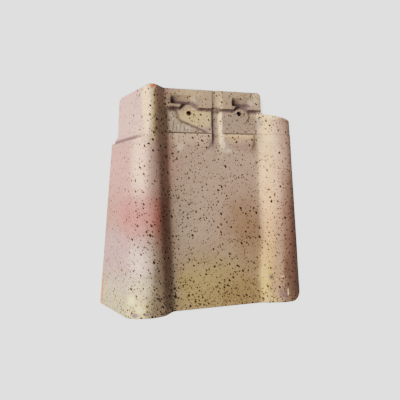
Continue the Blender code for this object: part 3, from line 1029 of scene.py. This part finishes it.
verge_roll_tones = [
    ("#8F6E5F", (-116, 250), (11, 270), 1.3),
    ("#9C8069", (-118, 375), (10, 52), 1.5),
    ("#7C5B4C", (-115, 125), (11, 80), 1.3),
    ("#8E7263", (-136, 285), (12, 78), 1.3),
    ("#72614E", (-130, 56), (14, 70), 1.3),
    ("#9A8572", (-143, 80), (7, 56), 1.3),
    ("#78674F", (-138, 14), (16, 34), 1.3),
    ("#B39B6C", (-138, 400), (8, 66), 2.0),
    # Painted highlight: pale yellow strips along the left side of the roll, where it faces the
    # light.
    ("#F3BF93", (-162, 282), (13, 66), 1.3),
    ("#FBCB82", (-150, 402), (7, 64), 2.5),
    ("#DCB79C", (-164, 96), (17, 34), 1.3),
    ("#CAB786", (-163, 52), (18, 18), 1.3),
    ("#E4CA79", (-167, 16), (16, 22), 1.3),
    ("#6C443A", (-128, 180), (16, 38), 1.5),
    ("#A9655A", (-164, 182), (33, 36), 1.5),
    ("#A66054", (-184, 182), (10, 22)),
]
cover_roll_tones = [
    ("#805E4E", (160, 220), (30, 280), 2.5),
    ("#B08A72", (155, 330), (18, 84), 1.5),
    ("#604434", (152, 56), (26, 84), 1.5),
    ("#6B4636", (164, 128), (12, 70)),
    ("#D2A57F", (124, 325), (15, 66), 1.3),
    ("#CC9B77", (120, 240), (14, 60), 1.3),
    ("#A97F5E", (118, 155), (13, 48), 1.3),
    ("#9C7950", (112, 62), (13, 62), 1.3),
    # Painted highlight: pale yellow strips along the left side of the cover roll, where it faces
    # the light.
    ("#FBCD7B", (109, 350), (10, 38), 1.3),
    ("#F0C074", (106, 275), (14, 56), 1.3),
    ("#F0B86C", (105, 205), (11, 44), 1.3),
    ("#DCA45C", (104, 145), (9, 36), 1.3),
    ("#C69A4E", (98, 88), (11, 40), 1.3),
    ("#C9A544", (93, 40), (9, 40), 1.3),
    ("#C4A35C", (104, 6), (9, 14)),
    ("#FFD97C", (122, 390), (24, 7), 1.5),
]
# Painted light and shade on the walls at the head: dark in the two hollows and on the channel's
# left wall, pale yellow on its right wall, which faces the light.
wall_light_and_shade = [
    ("#4A372E", (43, 412), (9, 3.2), 1.5, 0.3),
    ("#6A5048", (-74, 412), (20, 2.6), 1.5, 0.3),
    ("#73605A", (-9.0, 364), (4.6, 42), 1.2, 0.3),
    ("#EAC684", (6.4, 372), (4.4, 54), 2.0, 0.3),
]
tones = pan_tones + wing_tones + verge_roll_tones + cover_roll_tones + wall_light_and_shade
slip_and_painted_light = linear("#997D66")
for tone in tones:
    slip_and_painted_light = patch(slip_and_painted_light, *tone)
print(len(tones), "tones")

# %% Slow mottling of the spray
mottle_size = 0.012
mottle = add("TexNoise", {"Vector": object_place, "Scale": 1 / mottle_size, "Detail": 5.0,
                          "Roughness": 0.6})
mottle_range = add("MapRange", {"Value": mottle.outputs["Fac"], "From Min": 0.3, "From Max": 0.7,
                                "To Min": 0.90, "To Max": 1.10}).outputs["Result"]
slip_and_painted_light = add("VectorMath", {0: slip_and_painted_light, "Scale": mottle_range},
                  operation="SCALE").outputs[0]

# %% Specks of oxide
speck_outline, speck_wander, cluster_size = 0.0030, 0.0030, 0.030
speck_softness = 0.00025
skin_place = add("Attribute", {}, attribute_name="skin_place").outputs["Vector"]
speck_noise = add("TexNoise", {"Vector": skin_place, "Scale": 1 / speck_outline, "Detail": 2.0})
speck_shift = add("VectorMath", {0: speck_noise.outputs["Color"], 1: (0.5, 0.5, 0.5)},
                  operation="SUBTRACT").outputs[0]
speck_place = add("VectorMath", {0: speck_shift, 1: (speck_wander,) * 3, 2: skin_place},
                  operation="MULTIPLY_ADD").outputs[0]
skin_sides = add("SeparateXYZ", {"Vector": skin_place})
up_the_slope = skin_sides.outputs["Y"]
off_wing = add("MapRange", {"Value": skin_sides.outputs["X"], "From Min": -0.25,
                            "From Max": -0.20, "To Min": 0.84, "To Max": 1.0}).outputs["Result"]
cluster_noise = add("TexNoise", {"Vector": skin_place, "Scale": 1 / cluster_size, "Detail": 2.0})
clusters = add("MapRange", {"Value": cluster_noise.outputs["Fac"], "From Min": 0.3,
                            "From Max": 0.7, "To Min": 0.5, "To Max": 1.5}).outputs["Result"]
at_tail = add("MapRange", {"Value": up_the_slope, "From Max": 0.060,
                           "To Min": 2.3, "To Max": 1.0}).outputs["Result"]
for more_or_fewer in (at_tail, off_wing):
    clusters = add("Math", {0: clusters, 1: more_or_fewer}, operation="MULTIPLY").outputs[0]


def specks(below, spacing, stretch, radius_tail, radius_head, share, colours):
    """One size of specks: mean spacing and radii in metres, of which only a share is there."""
    stretched = add("Mapping", {"Vector": speck_place, "Location": (spacing * 7.0, 0.0, 0.0),
                                "Rotation": (0.0, 0.0, 0.6), "Scale": (1.0, stretch, 1.0)},
                    vector_type="TEXTURE").outputs["Vector"]
    cells = add("TexVoronoi", {"Vector": stretched, "Scale": 1 / spacing},
                voronoi_dimensions="2D")
    random = add("SeparateColor", {"Color": cells.outputs["Color"]})
    radius = add("MapRange", {"Value": up_the_slope, "From Max": 0.25,
                              "To Min": radius_tail / spacing, "To Max": radius_head / spacing})
    size = add("MapRange", {"Value": random.outputs["Green"], "To Min": 0.45, "To Max": 1.2})
    sized = add("Math", {0: radius.outputs["Result"], 1: size.outputs["Result"]},
                operation="MULTIPLY").outputs[0]
    sized = add("Math", {0: sized, 1: off_wing}, operation="MULTIPLY").outputs[0]
    inside = add("Math", {0: sized, 1: cells.outputs["Distance"]}, operation="SUBTRACT").outputs[0]
    edge = add("MapRange", {"Value": inside, "From Max": speck_softness / spacing})
    wanted = add("Math", {0: clusters, 1: share}, operation="MULTIPLY").outputs[0]
    present = add("Math", {0: random.outputs["Red"], 1: wanted}, operation="LESS_THAN").outputs[0]
    mask = add("Math", {0: edge.outputs["Result"], 1: present}, operation="MULTIPLY").outputs[0]
    tone = add("ValToRGB", {"Fac": random.outputs["Blue"]})
    tone.color_ramp.interpolation = "CONSTANT"
    for i, colour in enumerate(colours):
        if i > 1:
            tone.color_ramp.elements.new(i / len(colours))
        tone.color_ramp.elements[i].position = i / len(colours)
        tone.color_ramp.elements[i].color = linear(colour)
    return add("Mix", {0: mask, 6: below, 7: tone.outputs["Color"]}, data_type="RGBA").outputs[2]


speck_sizes = [
    (0.0033, 1.0, 0.00095, 0.00075, 0.46, ["#3A2814", "#4C3619"]),
    (0.0050, 1.5, 0.00134, 0.00126, 0.50, ["#241404", "#301E08", "#1C1004", "#3C2B0C"]),
    (0.0105, 1.4, 0.00205, 0.00200, 0.38, ["#1E1206", "#180E05", "#322308", "#3A2A20"]),
]
for speck_size in speck_sizes:
    slip_and_painted_light = specks(slip_and_painted_light, *speck_size)
print(len(speck_sizes), "sizes of specks")

# %% Stains, small marks and painted glints
stains_and_glints = [
    ("#6A4E4C", (131, 14), (5, 4)),
    ("#6E5250", (123, 21), (3, 6)),
    ("#72564E", (134, 26), (2.5, 5)),
    ("#4E3E42", (104.5, 51), (4.5, 3.5)),
    ("#C78A52", (114, 47), (3, 2)),
    ("#C98E62", (127, 52), (3.5, 2)),
    # Painted highlight: a thin pale glint.
    ("#D9C58A", (138, 20), (1.3, 6)),
    ("#76605F", (-170, 7), (6, 4)),
    ("#6B5853", (-149, 7), (4, 3)),
    # Painted highlight on the left side of the crest at the tail, where it faces the light.
    ("#F6DF88", (-176, 32), (6, 8)),
    ("#F0DA88", (-162, 16), (7, 6)),
    ("#A98B82", (-168, 412), (2.5, 13)),
    ("#866A62", (-180, 353), (1.2, 2.5)),
    ("#987870", (-187, 389), (4, 0.8)),
]
for small_mark in stains_and_glints:
    slip_and_painted_light = patch(slip_and_painted_light, *small_mark, firmness=1.8, wander=1.6, drift=speck_shift)
print(len(stains_and_glints), "stains_and_glints")

# %% Painted shade in creases, and pale edges of rubbed slip and painted highlight
# The dark mix is painted shade and the pale mix is partly rubbed slip and partly painted
# highlight.
for place, strength, colour in (("rubbed_and_highlight", 0.35, "#D8C295"), ("painted_shade", 0.85, "#4B3A3B")):
    share = add("Attribute", {}, attribute_name=place).outputs["Fac"]
    share = add("Math", {0: share, 1: strength}, operation="MULTIPLY").outputs[0]
    slip_and_painted_light = add("Mix", {0: share, 6: slip_and_painted_light, 7: linear(colour)},
                      data_type="RGBA").outputs[2]

# %% Bare clay where the slip is missing
clay_grain = 0.004
clay_noise = add("TexNoise", {"Vector": object_place, "Scale": 1 / clay_grain, "Detail": 6.0})
clay_colour = add("Mix", {0: clay_noise.outputs["Fac"], 6: linear("#8E4A2C"),
                          7: linear("#C7714A")}, data_type="RGBA").outputs[2]
slip_cover = add("Attribute", {}, attribute_name="slip_cover").outputs["Fac"]
ragged = add("MapRange", {"Value": clay_noise.outputs["Fac"], "From Min": 0.3, "From Max": 0.7,
                          "To Min": -0.3, "To Max": 0.3}).outputs["Result"]
ragged_cover = add("Math", {0: slip_cover, 1: ragged}).outputs[0]
covered = add("MapRange", {"Value": ragged_cover, "From Min": 0.42,
                           "From Max": 0.58}).outputs["Result"]
surface_colour = add("Mix", {0: covered, 6: clay_colour, 7: slip_and_painted_light},
                     data_type="RGBA").outputs[2]
# Painted shade: each nail hole and its rim are painted nearly black, for the dark inside of the
# hole.
for hole_x, hole_y in nail_holes:
    surface_colour = patch(surface_colour, "#0B0806", (1000 * hole_x, 1000 * hole_y), (5.4, 5.4),
                           firmness=6.0, wander=0.0)

# %% Finish the material
# The slip's real grit is finer. It is drawn as coarse as it needs to show.
grit = 0.0016
grain = add("TexNoise", {"Vector": object_place, "Scale": 1 / grit, "Detail": 3.0})
bump = add("Bump", {"Height": grain.outputs["Fac"], "Strength": 0.35, "Distance": 0.0003})
roughness = add("MapRange", {"Value": covered, "To Min": 0.92, "To Max": 0.75}).outputs["Result"]
shader = add("BsdfPrincipled", {"Base Color": surface_colour, "Roughness": roughness,
                                "Specular IOR Level": 0.25, "Normal": bump.outputs["Normal"]})
add("OutputMaterial", {"Surface": shader.outputs["BSDF"]})

tile.data.materials.clear()
tile.data.materials.append(slipped_clay)
print("material:", len(nodes), "nodes")


# %% [markdown]
# ## The studio
# The tile lies on a pale floor. The light in the photo comes low from the left, so that the
# wing and the left side of each roll shine and the right sides go dark. Its shadows are soft
# across the tile but not along it, as from a tall narrow window, so the key light is a strip
# of sun lamps one above the other. A sun lamp is as strong at the tail as at the head. The
# floor has a lamp of its own from above, so that it stays pale and even, and light linking
# keeps each lamp to what it is meant for. A faint sky fills the shadows.

# %% Floor
floor_size = 6.0

bpy.ops.object.select_all(action="DESELECT")
bpy.ops.mesh.primitive_plane_add(size=floor_size)
floor = bpy.context.object
floor.name = "floor"
floor.visible_diffuse = False
print("floor:", floor_size, "m wide")


# %% Lamps
key_strength = 9.5
key_heights = (27.0, 39.0, 51.0, 63.0)
sky_strength = 0.32


def lamp(name, lit, height, width, strength):
    """A sun lamp on the left, with its height and its width on the sky in degrees."""
    data = bpy.data.lights.new(name, "SUN")
    data.energy = strength
    data.angle = math.radians(width)
    made = bpy.data.objects.new(name, data)
    made.rotation_euler.y = math.radians(height - 90.0)
    bpy.context.scene.collection.objects.link(made)
    receivers = bpy.data.collections.new(name + "_lights")
    receivers.objects.link(lit)
    made.light_linking.receiver_collection = receivers


for key_height in key_heights:
    lamp(f"key_{key_height:.0f}", tile, key_height, 16.0, key_strength / len(key_heights))
lamp("floor_lamp", floor, height=80.0, width=30.0, strength=9.0)

sky = bpy.data.worlds.new("faint_sky")
sky.use_nodes = True
background = sky.node_tree.nodes["Background"].inputs
background["Color"].default_value = (1.0, 1.0, 1.0, 1.0)
background["Strength"].default_value = sky_strength
bpy.context.scene.world = sky
print(len(key_heights), "key lamps, and one for the floor")

# %% Camera
camera_data = bpy.data.cameras.new("camera")
camera_data.lens = 28.8
camera_data.sensor_width = 36.0
camera_data.shift_x = -0.00125
camera_data.shift_y = -0.09875
camera = bpy.data.objects.new("camera", camera_data)
camera.location = (-0.01141, -0.00140, 0.70469)
camera.rotation_euler = [math.radians(angle) for angle in (6.3866, -1.2837, -1.1391)]
bpy.context.scene.collection.objects.link(camera)
bpy.context.scene.camera = camera
print("camera at", [round(side, 3) for side in camera.location])
